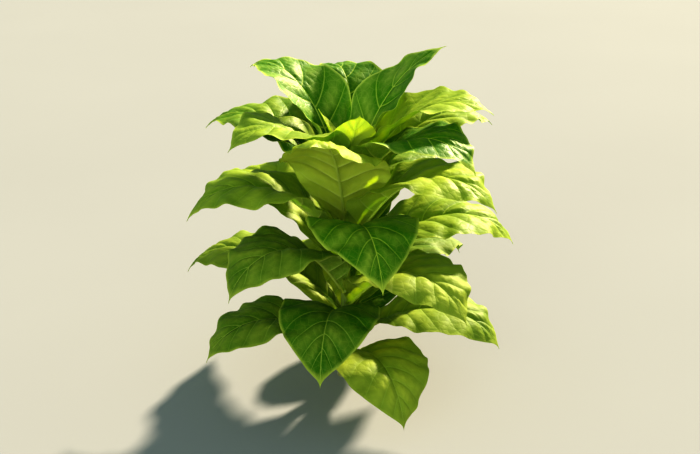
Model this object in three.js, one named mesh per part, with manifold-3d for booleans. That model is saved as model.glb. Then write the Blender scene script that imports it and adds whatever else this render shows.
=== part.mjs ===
// A field tobacco plant before it flowers: one upright stem, big stalkless leaves set on it in a spiral,
// and a bud of small furled leaves at the tip. Millimetres, +Z up, with the origin at the middle of the
// flat cut at ground level.
import * as THREE from "three";
import { mergeVertices } from "three/addons/utils/BufferGeometryUtils.js";
import Module from "manifold-3d";

// The plant as a whole
const LEAF_COUNT = 30;
const TOP_LEAF_HEIGHT = 640;
const CLEARANCE = 0.3;

// The stem
const STEM_TOP = 652;
const STEM_FOOT_RADIUS = 16.5;
const STEM_TIP_RADIUS = 5.5;
const STEM_TAPER = 1.25;
const FLARE_WIDTH = 8;
const FLARE_HEIGHT = 26;
const STEM_LEAN = 14;
const STEM_SWAY = 5;
const STEM_SIDES = 16;
const STEM_RINGS = 24;

// The spiral that the leaves follow, from the youngest, rank 0, down to the oldest
const YOUNGEST_AZIMUTH = -40;
const SPIRAL_TURN = -137.5;
const SHORTEST_GAP = 9;
const GAP_GROWTH = 1.4;
const LONGEST_GAP = 22.5;

// Leaf sizes
const LONGEST_LEAF = 610;
const GROWTH_START = 1.6;
const GROWTH_RANKS = 4.2;
const GROWTH_POWER = 1.5;
const OLD_LEAF_LOSS = 0.14;
const OLD_FROM_RANK = 16;
const YOUNG_WIDTH_SHARE = 0.34;
const FULL_WIDTH_SHARE = 0.515;
const FULL_WIDTH_RANK = 5;
const THICKNESS_SHARE = 1 / 96;
const RIB_DEPTH_SHARE = 0.014;
const RIB_TAPER = 0.85;
const TIP_HALF_WIDTH = 2;
const WING_SHARE = 0.09;
const CLASP = 1.1;
const FOOT_POWER = 1.5;
const TIP_POWER = 1.25;
const WING_POWER = 4;
const FOOT_SINK = 1;
const YOUNG_RANKS = 5;

// How the leaves hold themselves, in degrees from level
const YOUNG_RISE = 80;
const FULL_RISE = 66;
const OPENING_RANKS = 1.8;
const OLD_RISE = 38;
const SINKING_FROM_RANK = 8;
const YOUNG_TIP_ANGLE = 80;
const OLD_TIP_ANGLE = -72;
const DROOP_RANKS = 4.6;
const DROOP_POWER = 1.3;
const BEND_POWER = 2.1;

// The cross-section of a blade, and its wavy edge
const FOLD = 0.5;
const CURL = 0.75;
const WRAP = 0.95;
const MOST_WRAP = 1.0;
const UNFOLD_FROM_RANK = 5;
const UNFOLD_RANKS = 9;
const FOLD_LOSS = 0.55;
const WAVE_SHARE = 0.02;
const WAVES = 2.7;
const WAVE_POWER = 2.2;
const WAVE_LAG = 0.37;
const VEIN_SWEEP = 0.72;

// How far leaves of one age differ: degrees, or shares of the size
const LENGTH_SPREAD = 0.03;
const WIDTH_SPREAD = 0.05;
const TURN_SPREAD = 5;
const RISE_SPREAD = 3;
const TIP_SPREAD = 12;
const SWAY_SPREAD = 9;
const ROLL_SPREAD = 5;
const WAVE_SPREAD = 0.3;

// The facets of a leaf
const LEAF_ROWS = 12;
const BUD_LEAF_ROWS = 5;
const LEAF_COLUMNS = [-1, -0.62, -0.26, 0, 0.26, 0.62, 1];
const RIB_STEPS = 60;
const SLOPE_STEP = 0.004;
const TIP_PATCH = 0.97;

// The bud
const BUD_LEAF_COUNT = 4;
const BUD_LEAF_LENGTH = 112;
const BUD_LEAF_SHRINK = 0.76;
const BUD_LEAF_HALF_WIDTH = 0.12;
const BUD_LEAF_RISE = 86;
const BUD_LEAF_TIP = 82;
const BUD_LEAF_FOLD = 1.0;
const BUD_LEAF_FOOT = 1.5;
const BUD_LEAF_TOP = 664;
const BUD_LEAF_STEP = 4;
const BUD_CORE_RADIUS = 4;
const BUD_CORE_HEIGHT = 40;

// Leaves that stand apart from the rule, by rank: their turn off the spiral, base angle, tip angle and
// sideways sway in degrees, the power of their bend, their length against the usual, and their curl
const SEEN_LEAVES = new Map([
  [2, { turn: -8, rise: 70, tip: 20, bend: 1.7, sway: -32, stretch: 1.5 }],
  [3, { turn: 8, rise: 66, tip: 44, sway: 12, stretch: 0.78 }],
  [4, { turn: 16, rise: 68, tip: -40, bend: 3, sway: -2, stretch: 1.14 }],
  [5, { turn: 0, rise: 66.5, tip: -36, sway: -8, stretch: 1.07 }],
  [6, { turn: 3, tip: -46 }],
  [7, { turn: 6, rise: 62, tip: -45, bend: 3.2, sway: 40, stretch: 1 }],
  [8, { turn: 20, tip: -60 }],
  [10, { turn: 0, tip: -50, stretch: 1.05 }],
  [11, { turn: 12, rise: 66, tip: -4, bend: 2.4, stretch: 1, curl: 1.8 }],
]);

const radians = (degrees) => (degrees * Math.PI) / 180;
const mix = (a, b, share) => a + (b - a) * share;
const clamp01 = (x) => Math.min(1, Math.max(0, x));
const ease = (x) => {
  const c = clamp01(x);
  return c * c * (3 - 2 * c);
};

// An even spread of values from -1 to 1: the same for a given rank and trait, and unlike for its neighbours.
const variation = (rank, trait) => {
  const x = (rank + 7) * 0.7548776662 + (trait + 1) * 0.569840291;
  return 2 * (x - Math.floor(x)) - 1;
};

const wasm = await Module();
wasm.setup();

// A closed three.js geometry as a solid
function solidFrom(geometry) {
  const bare = geometry.clone();
  bare.deleteAttribute("normal");
  bare.deleteAttribute("uv");
  const merged = mergeVertices(bare, 1e-4);
  return new wasm.Manifold(
    new wasm.Mesh({
      numProp: 3,
      vertProperties: merged.attributes.position.array,
      triVerts: new Uint32Array(merged.index.array),
    }),
  );
}

// A solid as a three.js geometry
function geometryFrom(solid) {
  const mesh = solid.getMesh();
  const geometry = new THREE.BufferGeometry();
  geometry.setAttribute("position", new THREE.BufferAttribute(mesh.vertProperties, 3));
  geometry.setIndex(new THREE.BufferAttribute(mesh.triVerts, 1));
  geometry.computeVertexNormals();
  return geometry;
}

// The largest body of a solid, without loose scraps
function largestBody(solid) {
  const bodies = solid.decompose();
  return bodies.reduce((a, b) => (b.volume() > a.volume() ? b : a));
}

// Joins rings of equal count into a closed skin, with a fan at each end.
function closedRings(rings) {
  const sides = rings[0].length;
  const points = rings.flat();
  const faces = [];
  for (let i = 0; i + 1 < rings.length; i++) {
    for (let j = 0; j < sides; j++) {
      const a = i * sides + j;
      const b = i * sides + ((j + 1) % sides);
      faces.push(a, b, b + sides, a, b + sides, a + sides);
    }
  }
  const last = (rings.length - 1) * sides;
  for (let j = 1; j + 1 < sides; j++) {
    faces.push(0, j + 1, j, last, last + j, last + j + 1);
  }
  const geometry = new THREE.BufferGeometry();
  const flat = points.flatMap((p) => [p.x, p.y, p.z]);
  geometry.setAttribute("position", new THREE.Float32BufferAttribute(flat, 3));
  geometry.setIndex(faces);
  return geometry;
}

// The stem's radius at a height: a taper, with the flare of the root collar at its foot
function stemRadius(z) {
  const share = clamp01(z / STEM_TOP);
  const taper = mix(STEM_FOOT_RADIUS, STEM_TIP_RADIUS, share ** STEM_TAPER);
  return taper + FLARE_WIDTH * Math.exp(-z / FLARE_HEIGHT);
}

// The stem's middle at a height: upright at its foot, with a slight lean and sway above
function stemMiddle(z) {
  const share = z / STEM_TOP;
  const lean = STEM_LEAN * share * share;
  const sway = STEM_SWAY * Math.sin(2 * Math.PI * share) * share;
  return new THREE.Vector3(lean, sway, z);
}

// The stem as rings of points, grown by a margin to give the space that leaves keep clear of
function stemGeometry(margin) {
  const rings = [];
  for (let i = 0; i <= STEM_RINGS; i++) {
    const share = i / STEM_RINGS;
    const z = STEM_TOP * mix(share * share, share, 0.75);
    const middle = stemMiddle(z);
    if (i === STEM_RINGS) middle.z += margin;
    const radius = stemRadius(z) + margin;
    const ring = [];
    for (let j = 0; j < STEM_SIDES; j++) {
      const turn = (2 * Math.PI * j) / STEM_SIDES;
      ring.push(new THREE.Vector3(radius * Math.cos(turn), radius * Math.sin(turn), 0).add(middle));
    }
    rings.push(ring);
  }
  return closedRings(rings);
}

// The height at which the leaf of a rank leaves the stem
function leafHeight(rank) {
  let z = TOP_LEAF_HEIGHT;
  for (let k = 0; k < rank; k++) z -= Math.min(SHORTEST_GAP + GAP_GROWTH * k, LONGEST_GAP);
  return z;
}

// Every size and angle of the leaf of a rank
function leafTraits(rank) {
  const seen = SEEN_LEAVES.get(rank) ?? {};
  const age = rank / (LEAF_COUNT - 1);
  const growth = 1 - Math.exp(-(((rank + GROWTH_START) / GROWTH_RANKS) ** GROWTH_POWER));
  const loss = OLD_LEAF_LOSS * ease((rank - OLD_FROM_RANK) / (LEAF_COUNT - OLD_FROM_RANK));
  const stretch = seen.stretch ?? 1 + LENGTH_SPREAD * variation(rank, 0);
  const length = LONGEST_LEAF * growth * (1 - loss) * stretch;
  const width = mix(YOUNG_WIDTH_SHARE, FULL_WIDTH_SHARE, ease(rank / FULL_WIDTH_RANK));
  const unfolded = ease((rank - UNFOLD_FROM_RANK) / UNFOLD_RANKS);
  const closed = Math.exp(-rank / OPENING_RANKS);
  const sunk = ease((rank - SINKING_FROM_RANK) / (LEAF_COUNT - SINKING_FROM_RANK));
  const rise = mix(FULL_RISE, YOUNG_RISE, closed) - (FULL_RISE - OLD_RISE) * sunk;
  const upheld = Math.exp(-((rank / DROOP_RANKS) ** DROOP_POWER));
  const height = leafHeight(rank);
  const halfWidth = (length * width * (1 + WIDTH_SPREAD * variation(rank, 2))) / 2;
  const turn = seen.turn ?? TURN_SPREAD * unfolded * variation(rank, 1);
  const droop = mix(OLD_TIP_ANGLE, YOUNG_TIP_ANGLE, upheld);
  return {
    azimuth: YOUNGEST_AZIMUTH + SPIRAL_TURN * rank + turn,
    height,
    length,
    halfWidth,
    wing: Math.min(WING_SHARE, (CLASP * stemRadius(height)) / halfWidth),
    rise: seen.rise ?? rise + RISE_SPREAD * unfolded * variation(rank, 3),
    tip: seen.tip ?? droop + TIP_SPREAD * unfolded * variation(rank, 4),
    bend: seen.bend ?? BEND_POWER,
    sway: seen.sway ?? SWAY_SPREAD * unfolded * variation(rank, 5),
    roll: ROLL_SPREAD * variation(rank, 6) * age,
    fold: FOLD * unfolded,
    curl: (seen.curl ?? CURL) * unfolded,
    wavePhase: variation(rank, 7),
    wave: length * WAVE_SHARE * (1 + WAVE_SPREAD * variation(rank, 8)),
    start: -FOOT_SINK,
  };
}

// The midrib as stations along its length. Its angle from level falls from rise to tip, faster towards the
// tip, and its heading drifts by the sway.
function midrib(leaf) {
  const foot = stemMiddle(leaf.height);
  const heading = radians(leaf.azimuth);
  const out = stemRadius(leaf.height) + leaf.start;
  const place = new THREE.Vector3(out * Math.cos(heading), out * Math.sin(heading), 0).add(foot);
  const stations = [];
  const step = leaf.length / RIB_STEPS;
  for (let i = 0; i <= RIB_STEPS; i++) {
    const s = i / RIB_STEPS;
    const slope = radians(leaf.rise + (leaf.tip - leaf.rise) * s ** leaf.bend);
    const turn = heading + radians(leaf.sway) * s * s;
    const along = new THREE.Vector3(
      Math.cos(slope) * Math.cos(turn),
      Math.cos(slope) * Math.sin(turn),
      Math.sin(slope),
    );
    const side = new THREE.Vector3(-Math.sin(turn), Math.cos(turn), 0);
    side.applyAxisAngle(along, radians(leaf.roll) * s);
    const wrap = (WRAP * Math.max(0, Math.sin(slope))) / Math.hypot(place.x - foot.x, place.y - foot.y);
    stations.push({ place: place.clone(), along, side, up: along.clone().cross(side), wrap });
    place.addScaledVector(along, step);
  }
  return stations;
}

// Half the blade's width, at a share of the leaf's length: winged at its foot, widest near the middle, and
// drawn out to a point
function halfWidthAt(leaf, s) {
  const widest = FOOT_POWER / (FOOT_POWER + TIP_POWER);
  const body = (s / widest) ** FOOT_POWER * ((1 - s) / (1 - widest)) ** TIP_POWER;
  const wing = leaf.wing * (1 - s) ** WING_POWER;
  const share = wing + (1 - wing) * body;
  return Math.max(leaf.halfWidth * share, TIP_HALF_WIDTH);
}

// A point of the blade's middle surface. q counts along the side veins, which sweep forward from the midrib
// to the edge, and t goes from -1 at one edge, over the midrib, to 1 at the other. A half blade rises from
// the midrib at the fold angle and curls back down to its edge, which waves. Where a leaf stands steeply it
// also cups round the stem, more so the nearer it is.
function bladePoint(leaf, stations, q, t) {
  const across = Math.abs(t);
  const edge = q + VEIN_SWEEP * q * (1 - q);
  const s = clamp01(q + (edge - q) * across);
  const at = s * RIB_STEPS;
  const low = Math.min(Math.floor(at), RIB_STEPS - 1);
  const share = at - low;
  const a = stations[low];
  const b = stations[low + 1];
  const halfWidth = halfWidthAt(leaf, edge);
  const fold = leaf.fold * (1 - FOLD_LOSS * s);
  const wrap = Math.min(mix(a.wrap, b.wrap, share) * halfWidth, MOST_WRAP);
  const half = ((leaf.curl - wrap) * across) / 2;
  const chord = halfWidth * across * (Math.abs(half) < 1e-6 ? 1 : Math.sin(half) / half);
  const reach = chord * Math.cos(fold - half);
  const rise = chord * Math.sin(fold - half);
  const lag = t > 0 ? 0 : WAVE_LAG;
  const phase = 2 * Math.PI * (WAVES * s + 0.5 * leaf.wavePhase + lag);
  const wave = leaf.wave * across ** WAVE_POWER * Math.sin(Math.PI * s) * Math.sin(phase);
  const point = a.place.clone().lerp(b.place, share);
  point.addScaledVector(a.side.clone().lerp(b.side, share), Math.sign(t) * reach);
  point.addScaledVector(a.up.clone().lerp(b.up, share), rise + wave);
  return point;
}

// A leaf as a thin closed blade with the midrib standing out underneath
function bladeGeometry(leaf, rows) {
  const stations = midrib(leaf);
  const thickness = leaf.length * THICKNESS_SHARE;
  const rings = [];
  for (let i = 0; i <= rows; i++) {
    const q = i / rows;
    const upper = [];
    const lower = [];
    for (const t of LEAF_COLUMNS) {
      const point = bladePoint(leaf, stations, q, t);
      const q0 = Math.min(q, 1 - SLOPE_STEP);
      const t0 = Math.min(t, 1 - SLOPE_STEP);
      const here = bladePoint(leaf, stations, q0, t0);
      const along = bladePoint(leaf, stations, q0 + SLOPE_STEP, t0).sub(here);
      const across = bladePoint(leaf, stations, q0, t0 + SLOPE_STEP).sub(here);
      let normal = along.cross(across).normalize();
      if (t === 0 || q > TIP_PATCH) normal = stations[Math.round(q * RIB_STEPS)].up.clone();
      const rib = t === 0 ? leaf.length * RIB_DEPTH_SHARE * (1 - RIB_TAPER * q) : 0;
      upper.push(point.clone().addScaledVector(normal, thickness / 2));
      lower.push(point.clone().addScaledVector(normal, -thickness / 2 - rib));
    }
    rings.push([...lower, ...upper.reverse()]);
  }
  return closedRings(rings);
}

// A leaf as a solid, its foot cut to the stem it stands on
function leafSolid(leaf, keepClear) {
  return largestBody(solidFrom(bladeGeometry(leaf, LEAF_ROWS)).subtract(keepClear));
}

// The bud: the smallest leaves, still furled round the growing tip, joined on a short cone
function budSolid(keepClear) {
  const cone = new THREE.ConeGeometry(BUD_CORE_RADIUS, BUD_CORE_HEIGHT, STEM_SIDES);
  cone.rotateX(Math.PI / 2);
  const foot = stemMiddle(STEM_TOP);
  cone.translate(foot.x, foot.y, STEM_TOP + CLEARANCE * 2 + BUD_CORE_HEIGHT / 2);
  let bud = solidFrom(cone);
  for (let i = 0; i < BUD_LEAF_COUNT; i++) {
    const rank = -1 - i;
    const length = BUD_LEAF_LENGTH * BUD_LEAF_SHRINK ** i;
    const small = {
      ...leafTraits(0),
      azimuth: YOUNGEST_AZIMUTH + SPIRAL_TURN * rank,
      height: BUD_LEAF_TOP + BUD_LEAF_STEP * i,
      length,
      halfWidth: length * BUD_LEAF_HALF_WIDTH,
      rise: BUD_LEAF_RISE,
      tip: BUD_LEAF_TIP,
      fold: BUD_LEAF_FOLD,
      wave: 0,
      start: BUD_LEAF_FOOT - STEM_TIP_RADIUS,
    };
    bud = bud.add(solidFrom(bladeGeometry(small, BUD_LEAF_ROWS)));
  }
  return largestBody(bud.subtract(keepClear));
}

const leafGreen = new THREE.MeshStandardMaterial({ color: 0x5e9a26, roughness: 0.55, metalness: 0 });
const youngGreen = new THREE.MeshStandardMaterial({ color: 0x8fc043, roughness: 0.55, metalness: 0 });
const stemGreen = new THREE.MeshStandardMaterial({ color: 0x9db765, roughness: 0.7, metalness: 0 });

const plant = new THREE.Group();

function addPiece(name, geometry, material) {
  const piece = new THREE.Mesh(geometry, material);
  piece.name = name;
  plant.add(piece);
}

const keepClear = solidFrom(stemGeometry(CLEARANCE));
addPiece("stem", geometryFrom(solidFrom(stemGeometry(0))), stemGreen);
addPiece("bud", geometryFrom(budSolid(keepClear)), youngGreen);
for (let rank = LEAF_COUNT - 1; rank >= 0; rank--) {
  const name = "leaf_" + String(LEAF_COUNT - rank).padStart(2, "0");
  const material = rank < YOUNG_RANKS ? youngGreen : leafGreen;
  addPiece(name, geometryFrom(leafSolid(leafTraits(rank), keepClear)), material);
}

export default plant;
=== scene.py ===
"""A field tobacco plant before it flowers, dressed for the studio.

One upright stem, thirty big stalkless leaves set on it in a spiral, and a bud of furled young leaves at
the tip. Metres, +Z up, with the origin at the middle of the flat cut at ground level. Fields hold angles in
degrees, apart from fold and curl, and the formulas work in radians.
"""

import logging
import math
from dataclasses import dataclass, field
from enum import Enum

import bpy
import numpy as np
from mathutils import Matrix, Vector


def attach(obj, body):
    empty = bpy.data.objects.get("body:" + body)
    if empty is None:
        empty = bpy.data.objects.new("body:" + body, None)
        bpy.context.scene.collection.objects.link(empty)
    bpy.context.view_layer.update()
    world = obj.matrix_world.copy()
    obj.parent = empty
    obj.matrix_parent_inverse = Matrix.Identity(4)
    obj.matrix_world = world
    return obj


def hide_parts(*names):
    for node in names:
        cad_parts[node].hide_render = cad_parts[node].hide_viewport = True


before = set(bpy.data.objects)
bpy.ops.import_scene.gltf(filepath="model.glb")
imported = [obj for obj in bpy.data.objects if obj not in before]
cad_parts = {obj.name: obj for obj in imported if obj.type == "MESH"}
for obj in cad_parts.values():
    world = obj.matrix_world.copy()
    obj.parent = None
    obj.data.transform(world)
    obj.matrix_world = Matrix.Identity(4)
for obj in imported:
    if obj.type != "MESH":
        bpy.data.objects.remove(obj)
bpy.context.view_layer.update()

BODY = "root"
FRAME_WIDTH = 700

Colour = tuple[float, float, float]
Numbers = np.ndarray | float
Socket = bpy.types.NodeSocket
log = logging.getLogger("tobacco_plant")


class Slot(Enum):
    """The record's material slots."""

    STEM = "stem"
    LEAF = "leaf"
    YOUNG_LEAF = "young_leaf"


class Trait(Enum):
    """What varies from leaf to leaf."""

    LENGTH = 0
    TURN = 1
    WIDTH = 2
    RISE = 3
    TIP = 4
    SWAY = 5
    ROLL = 6
    WAVE_PHASE = 7
    WAVE = 8
    TONE = 9
    BUD_SWAY = 12


def ease(x: Numbers) -> Numbers:
    """Smooth step: three times the square less twice the cube of x, held to 0..1."""
    held = np.clip(x, 0.0, 1.0)
    return held * held * (3.0 - 2.0 * held)


def mix(a: Numbers, b: Numbers, share: Numbers) -> Numbers:
    """The value that lies between a and b by a share."""
    return a + (b - a) * share


def variation(rank: int, trait: Trait) -> float:
    """A value from -1 to 1, spread evenly over ranks and traits and the same each time.

    Args:
        rank: the leaf's place in the spiral, from the youngest.
        trait: what varies.

    Returns:
        Twice the fraction of a sum of two irrational steps, less one.
    """
    rank_step = 0.7548776662
    trait_step = 0.569840291
    rank_shift = 7
    x = (rank + rank_shift) * rank_step + (trait.value + 1) * trait_step
    return 2.0 * (x - math.floor(x)) - 1.0


def slab_faces(rows: int, columns: int) -> np.ndarray:
    """The faces of a closed slab between two grids of points.

    The upper grid's vertices come first, row by row, and the lower grid's follow. Each grid gives one quad
    for each cell, and a strip of quads closes each of the four sides.

    Args:
        rows: rows of points in each grid.
        columns: points in a row.

    Returns:
        Four vertex numbers for each face, in the order that faces outward.
    """
    upper = np.arange(rows * columns).reshape(rows, columns)
    lower = upper + rows * columns

    def cells(a: np.ndarray, b: np.ndarray, c: np.ndarray, d: np.ndarray) -> np.ndarray:
        """Quads from four arrays of corners."""
        return np.stack([a.ravel(), b.ravel(), c.ravel(), d.ravel()], axis=1)

    def wall(line: np.ndarray, under: np.ndarray) -> np.ndarray:
        """Quads between a line of the upper grid and the line below it."""
        return cells(line[:-1], line[1:], under[1:], under[:-1])

    return np.concatenate([
        cells(upper[:-1, :-1], upper[1:, :-1], upper[1:, 1:], upper[:-1, 1:]),
        cells(lower[:-1, :-1], lower[:-1, 1:], lower[1:, 1:], lower[1:, :-1]),
        wall(upper[:, -1], lower[:, -1]),
        wall(upper[::-1, 0], lower[::-1, 0]),
        wall(upper[0, :], lower[0, :]),
        wall(upper[-1, ::-1], lower[-1, ::-1]),
    ])


@dataclass(frozen=True)
class Skin:
    """A surface as arrays: vertices in metres, four-sided faces, any faces with more sides, numbers for each
    vertex by name, and a place on the map for each vertex.
    """

    points: np.ndarray
    faces: np.ndarray
    uv: np.ndarray
    values: dict[str, np.ndarray] = field(default_factory=dict)
    caps: tuple[list[int], ...] = ()

    @staticmethod
    def joined(skins: list["Skin"]) -> "Skin":
        """Several skins as one, their vertex numbers moved up by the vertices before them."""
        starts = np.cumsum([0] + [len(skin.points) for skin in skins[:-1]])
        return Skin(
            points=np.concatenate([skin.points for skin in skins]),
            faces=np.concatenate([skin.faces + start for skin, start in zip(skins, starts)]),
            uv=np.concatenate([skin.uv for skin in skins]),
            values={key: np.concatenate([skin.values[key] for skin in skins]) for key in skins[0].values},
        )

    def piece(self, name: str, material: bpy.types.Material, sharp_angle: float = 55.0) -> bpy.types.Object:
        """The skin as a mesh object at the origin.

        Args:
            name: the piece's name.
            material: its finish.
            sharp_angle: edges that turn by more than this many degrees stay sharp.

        Returns:
            The object.
        """
        mesh = bpy.data.meshes.new(name)
        mesh.from_pydata(self.points.tolist(), [], self.faces.tolist() + list(self.caps))
        for key, numbers in self.values.items():
            attribute = mesh.attributes.new(key, "FLOAT", "POINT")
            attribute.data.foreach_set("value", numbers.astype(np.float32))
        corners = np.empty(len(mesh.loops), dtype=np.int32)
        mesh.loops.foreach_get("vertex_index", corners)
        layer = mesh.uv_layers.new(name="blade")
        layer.data.foreach_set("uv", self.uv[corners].astype(np.float32).ravel())
        mesh.shade_smooth()
        mesh.set_sharp_from_angle(angle=math.radians(sharp_angle))
        mesh.materials.append(material)
        piece = bpy.data.objects.new(name, mesh)
        bpy.context.scene.collection.objects.link(piece)
        return piece


class NodeKit:
    """A material's node tree, with short ways to add and join nodes."""

    def __init__(self, name: str) -> None:
        """An empty tree under a new material's name."""
        self.material = bpy.data.materials.new(name)
        self.material.use_nodes = True
        self.tree = self.material.node_tree
        self.tree.nodes.clear()
        self.values: dict[str, Socket] = {}

    def add(self, kind: str, inputs: dict[str, object] | None = None, **settings: object) -> bpy.types.Node:
        """A new node.

        Args:
            kind: the node's type name, without its ShaderNode prefix.
            inputs: by socket name or number, a value to set or a socket to join.
            settings: the node's own settings.

        Returns:
            The node.
        """
        node = self.tree.nodes.new("ShaderNode" + kind)
        for key, value in settings.items():
            setattr(node, key, value)
        for key, value in (inputs or {}).items():
            socket = node.inputs[key]
            if isinstance(value, Socket):
                self.tree.links.new(value, socket)
            elif isinstance(value, tuple) and len(value) == 3 and socket.type == "RGBA":
                socket.default_value = (*value, 1.0)
            else:
                socket.default_value = value
        return node

    def value(self, name: str) -> Socket:
        """A number that the mesh holds for each vertex, read by one node however often it is used."""
        if name not in self.values:
            self.values[name] = self.add("Attribute", attribute_name=name).outputs["Fac"]
        return self.values[name]

    def blend(self, share: object, a: object, b: object) -> Socket:
        """Colour a, going to colour b by a share."""
        return self.add("Mix", {0: share, 6: a, 7: b}, data_type="RGBA").outputs[2]

    def span(
        self, source: Socket, low: float, high: float, to_low: float = 0.0, to_high: float = 1.0
    ) -> Socket:
        """A number carried from one range into another and held there."""
        inputs = {0: source, 1: low, 2: high, 3: to_low, 4: to_high}
        return self.add("MapRange", inputs).outputs[0]

    def spread(self, noise: Socket, low: float = 0.0, high: float = 1.0) -> Socket:
        """Noise, nearly all of which lies in 0.3 to 0.7, carried from there into another range."""
        return self.span(noise, 0.3, 0.7, low, high)

    def between(self, share: Socket, a: float, b: float) -> Socket:
        """The number that lies between a and b by a share."""
        return self.span(share, 0.0, 1.0, a, b)

    def noise(self, place: Socket, scale: float, detail: float = 3.0) -> Socket:
        """Cloudy noise about one half, with features that get smaller as the scale grows."""
        return self.add("TexNoise", {"Vector": place, "Scale": scale, "Detail": detail}).outputs["Fac"]

    def maths(self, operation: str, *values: object) -> Socket:
        """A number worked out from others by one operation."""
        return self.add("Math", dict(enumerate(values)), operation=operation).outputs[0]

    def times(self, a: object, b: object) -> Socket:
        """The product of two numbers."""
        return self.maths("MULTIPLY", a, b)

    def output(self, shader: Socket) -> bpy.types.Material:
        """The finished material, with the shader as its surface."""
        self.add("OutputMaterial", {"Surface": shader})
        return self.material


@dataclass(frozen=True)
class LeafFinish:
    """The look of living leaf: satin and green above, paler and duller below, with pale veins.

    Light from behind glows through the blade. The upper face's colour runs from shade to lit partly as
    painted light and shade, its rim is painted lit, and its underside is partly painted lighter. Colours are
    linear.
    """

    name: str
    shade: Colour
    lit: Colour
    under: Colour
    pale_and_lit_under: Colour
    vein: Colour
    rib: Colour
    deep_glow: Colour
    glow: Colour
    least_glow: float = 0.15
    most_glow: float = 0.50
    glow_start: float = 0.2
    vein_glow: float = 0.5
    roughness: float = 0.50
    under_roughness: float = 0.65
    uneven_roughness: float = 0.05
    specular: float = 0.10
    patch_scale: float = 11.0
    patch_from: float = 0.35
    patch_to: float = 0.65
    patch_weight: float = 0.12
    tone_and_painted_light_weight: float = 0.42
    # Painted highlight on the pucker tops and painted shade in the dips by the veins.
    painted_pucker_light: float = 0.16
    net_strength: float = 0.13
    vein_strength: float = 0.64
    # How strongly the edge band is painted lit: painted rim light.
    painted_rim_strength: float = 0.8
    under_patch_weight: float = 0.25
    under_tone_and_painted_light_weight: float = 0.75
    under_net_strength: float = 0.3
    under_vein_strength: float = 0.95
    warp_scale: float = 45.0
    warp: float = 0.006
    cell_size: float = 0.0065
    large_cells: float = 3.4
    small_line: float = 0.45
    small_line_width: float = 0.22
    large_line_width: float = 0.11
    blister: float = 2.1
    grain: float = 0.3
    grain_scale: float = 160.0
    under_relief: float = -0.8
    bump_strength: float = 0.85
    bump_depth: float = 0.00026

    @staticmethod
    def cells(kit: NodeKit, place: Socket, size: float) -> Socket:
        """The distance to the edge of flat cells of a size, as a share of that size."""
        inputs = {"Vector": place, "Scale": 1.0 / size}
        node = kit.add("TexVoronoi", inputs, feature="DISTANCE_TO_EDGE", voronoi_dimensions="2D")
        return node.outputs["Distance"]

    def net(self, kit: NodeKit) -> tuple[Socket, Socket]:
        """The net of fine veins: the edges of large and small cells on the blade's own map, bent a little.

        Args:
            kit: the material's nodes.

        Returns:
            The net, from 0 to 1, and the distance to the edge of its large cells.
        """
        flat = kit.add("UVMap", uv_map="blade").outputs["UV"]
        inputs = {"Vector": flat, "Scale": self.warp_scale, "Detail": 2.0}
        clouds = kit.add("TexNoise", inputs).outputs["Color"]
        inputs = {0: clouds, 1: (self.warp, self.warp, 0.0), 2: flat}
        bent = kit.add("VectorMath", inputs, operation="MULTIPLY_ADD").outputs[0]
        small = self.cells(kit, bent, self.cell_size)
        large = self.cells(kit, bent, self.cell_size * self.large_cells)
        fine = kit.span(small, 0.0, self.small_line_width, self.small_line, 0.0)
        coarse = kit.span(large, 0.0, self.large_line_width, 1.0, 0.0)
        return kit.maths("MAXIMUM", fine, coarse), large

    def painted_lightness(self, kit: NodeKit, broad: Socket) -> Socket:
        """How far the upper face is painted from shade to lit: one half, plus broad noise, the tone and a
        painted highlight on the puckers.
        """
        noise = kit.span(broad, self.patch_from, self.patch_to, -self.patch_weight, self.patch_weight)
        # The tone adds painted shade or painted light on some leaves.
        patch = kit.maths("ADD", noise, kit.times(kit.value("tone"), self.tone_and_painted_light_weight))
        # Painted highlight on the pucker tops, painted shade in the dips by the veins.
        pucker = kit.between(kit.value("pucker"), 0.5 - self.painted_pucker_light, 0.5 + self.painted_pucker_light)
        return kit.maths("ADD", patch, pucker)

    def colour(self, kit: NodeKit, share: Socket, broad: Socket, line: Socket) -> Socket:
        """The colour of both faces.

        The upper face goes from shade to lit, partly as painted light and shade, and the lower one from under
        to pale_and_lit_under, partly as painted light. The net of fine veins and then the veins themselves
        lighten both, and the rim is painted lit.

        Args:
            kit: the material's nodes.
            share: how far the upper face is painted from shade to lit.
            broad: the broad noise.
            line: the net of fine veins.

        Returns:
            The colour.
        """
        vein = kit.value("vein")
        above = kit.blend(share, self.shade, self.lit)
        above = kit.blend(kit.times(line, self.net_strength), above, self.lit)
        above = kit.blend(kit.times(vein, self.vein_strength), above, self.vein)
        # The underside goes paler by noise and by the tone, which on some leaves is painted light.
        pale_and_lit_share = kit.maths(
            "ADD",
            kit.spread(broad, 0.0, self.under_patch_weight),
            kit.between(kit.value("tone"), 0.0, self.under_tone_and_painted_light_weight),
        )
        below = kit.blend(pale_and_lit_share, self.under, self.pale_and_lit_under)
        below = kit.blend(kit.times(line, self.under_net_strength), below, self.rib)
        below = kit.blend(kit.times(vein, self.under_vein_strength), below, self.rib)
        both = kit.blend(kit.value("under"), above, below)
        # Painted rim light: the edge band is blended to the lit colour.
        return kit.blend(kit.times(kit.value("rim"), self.painted_rim_strength), both, self.lit)

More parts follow.
